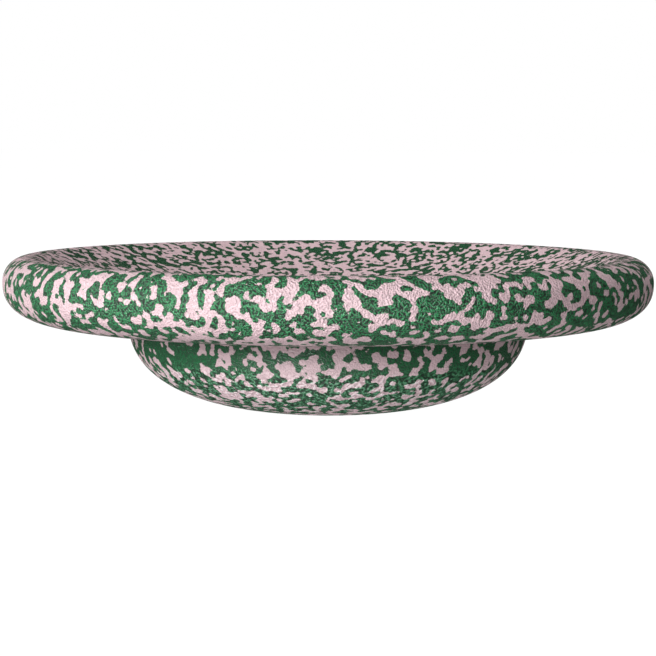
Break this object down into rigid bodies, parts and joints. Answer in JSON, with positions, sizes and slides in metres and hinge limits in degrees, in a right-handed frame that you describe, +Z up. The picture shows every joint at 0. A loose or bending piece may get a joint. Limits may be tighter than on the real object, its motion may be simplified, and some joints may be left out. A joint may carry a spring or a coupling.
{
  "type": "rocker balance board",
  "caption": "Round bead-foam balance board: a dished deck with a rolled rim, bonded on a rocker dome that the user tilts and turns on.",
  "frame": {"origin": "middle of the flat foot under the rocker dome, where the board stands on the floor", "axes": "+Z up, along the board's axis of revolution; X and Y are alike"},
  "size_m": [0.38, 0.38, 0.0907],
  "materials": {
    "bead_foam": "matte",
    "adhesive": "matte"
  },
  "bodies": {
    "root": {"deck": "bead_foam", "rocker_dome": "bead_foam", "bond_film": "adhesive"}
  },
  "joints": []
}
